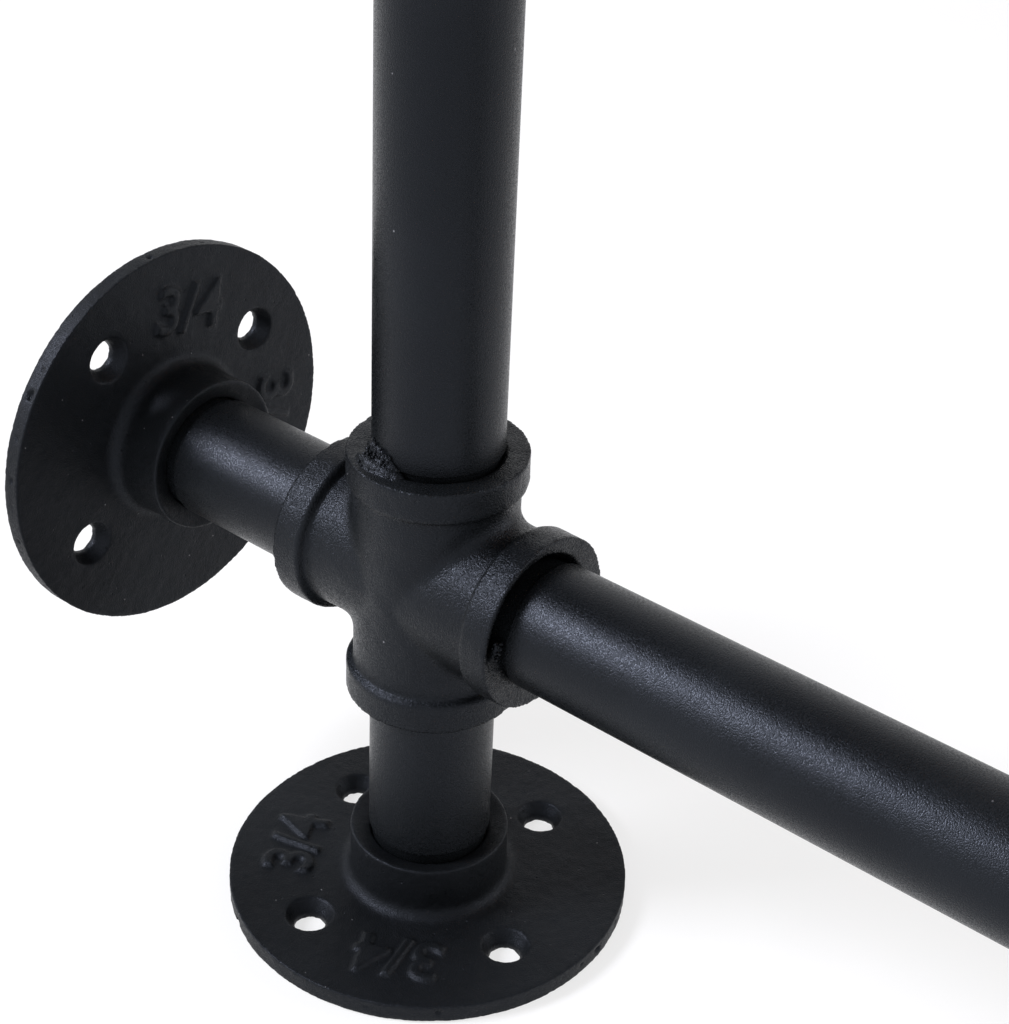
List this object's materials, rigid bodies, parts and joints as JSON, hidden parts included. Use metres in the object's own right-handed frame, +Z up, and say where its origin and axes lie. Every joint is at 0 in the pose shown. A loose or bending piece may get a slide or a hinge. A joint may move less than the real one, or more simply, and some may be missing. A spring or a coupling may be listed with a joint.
{
  "type": "pipe shelving unit",
  "caption": "Open shelving unit of black threaded pipe and cast fittings, standing on floor flanges and fixed to the wall by flanges, with wooden boards strapped on its rails.",
  "frame": {"origin": "on the floor, in the middle of the footprint", "axes": "+Z up, +Y towards the wall, +X along the boards"},
  "size_m": [0.9, 0.4638, 1.1365],
  "materials": {
    "pipe_steel": "satin black powder coat on drawn steel pipe",
    "fitting_casting": "satin black coat on sandy malleable casting",
    "flange_casting": "matt black coat on rough iron casting",
    "shelf_wood": "oiled softwood board with open grain",
    "strap_steel": "black coated pressed steel",
    "screw_steel": "black oxide"
  },
  "bodies": {
    "root": {"left_bottom_cross": "fitting_casting", "left_bottom_front_tee": "fitting_casting", "left_bottom_rail": "pipe_steel", "left_front_floor_flange": "flange_casting", "left_front_floor_nipple": "pipe_steel", "left_front_tee_1": "fitting_casting", "left_front_tee_2": "fitting_casting", "left_front_upright_1": "pipe_steel", "left_front_upright_2": "pipe_steel", "left_front_upright_3": "pipe_steel", "left_lower_wall_flange": "flange_casting", "left_lower_wall_nipple": "pipe_steel", "left_rear_floor_flange": "flange_casting", "left_rear_floor_nipple": "pipe_steel", "left_rear_tee_1": "fitting_casting", "left_rear_tee_2": "fitting_casting", "left_rear_upright_1": "pipe_steel", "left_rear_upright_2": "pipe_steel", "left_rear_upright_3": "pipe_steel", "left_shelf_rail_1": "pipe_steel", "left_shelf_rail_2": "pipe_steel", "left_shelf_rail_3": "pipe_steel", "left_top_front_elbow": "fitting_casting", "left_top_rear_tee": "fitting_casting", "left_upper_wall_flange": "flange_casting", "left_upper_wall_nipple": "pipe_steel", "pipe_straps": "strap_steel", "right_bottom_cross": "fitting_casting", "right_bottom_front_tee": "fitting_casting", "right_bottom_rail": "pipe_steel", "right_front_floor_flange": "flange_casting", "right_front_floor_nipple": "pipe_steel", "right_front_tee_1": "fitting_casting", "right_front_tee_2": "fitting_casting", "right_front_upright_1": "pipe_steel", "right_front_upright_2": "pipe_steel", "right_front_upright_3": "pipe_steel", "right_lower_wall_flange": "flange_casting", "right_lower_wall_nipple": "pipe_steel", "right_rear_floor_flange": "flange_casting", "right_rear_floor_nipple": "pipe_steel", "right_rear_tee_1": "fitting_casting", "right_rear_tee_2": "fitting_casting", "right_rear_upright_1": "pipe_steel", "right_rear_upright_2": "pipe_steel", "right_rear_upright_3": "pipe_steel", "right_shelf_rail_1": "pipe_steel", "right_shelf_rail_2": "pipe_steel", "right_shelf_rail_3": "pipe_steel", "right_top_front_elbow": "fitting_casting", "right_top_rear_tee": "fitting_casting", "right_upper_wall_flange": "flange_casting", "right_upper_wall_nipple": "pipe_steel", "shelf_board_1": "shelf_wood", "shelf_board_2": "shelf_wood", "shelf_board_3": "shelf_wood", "strap_screws": "screw_steel"}
  },
  "joints": []
}
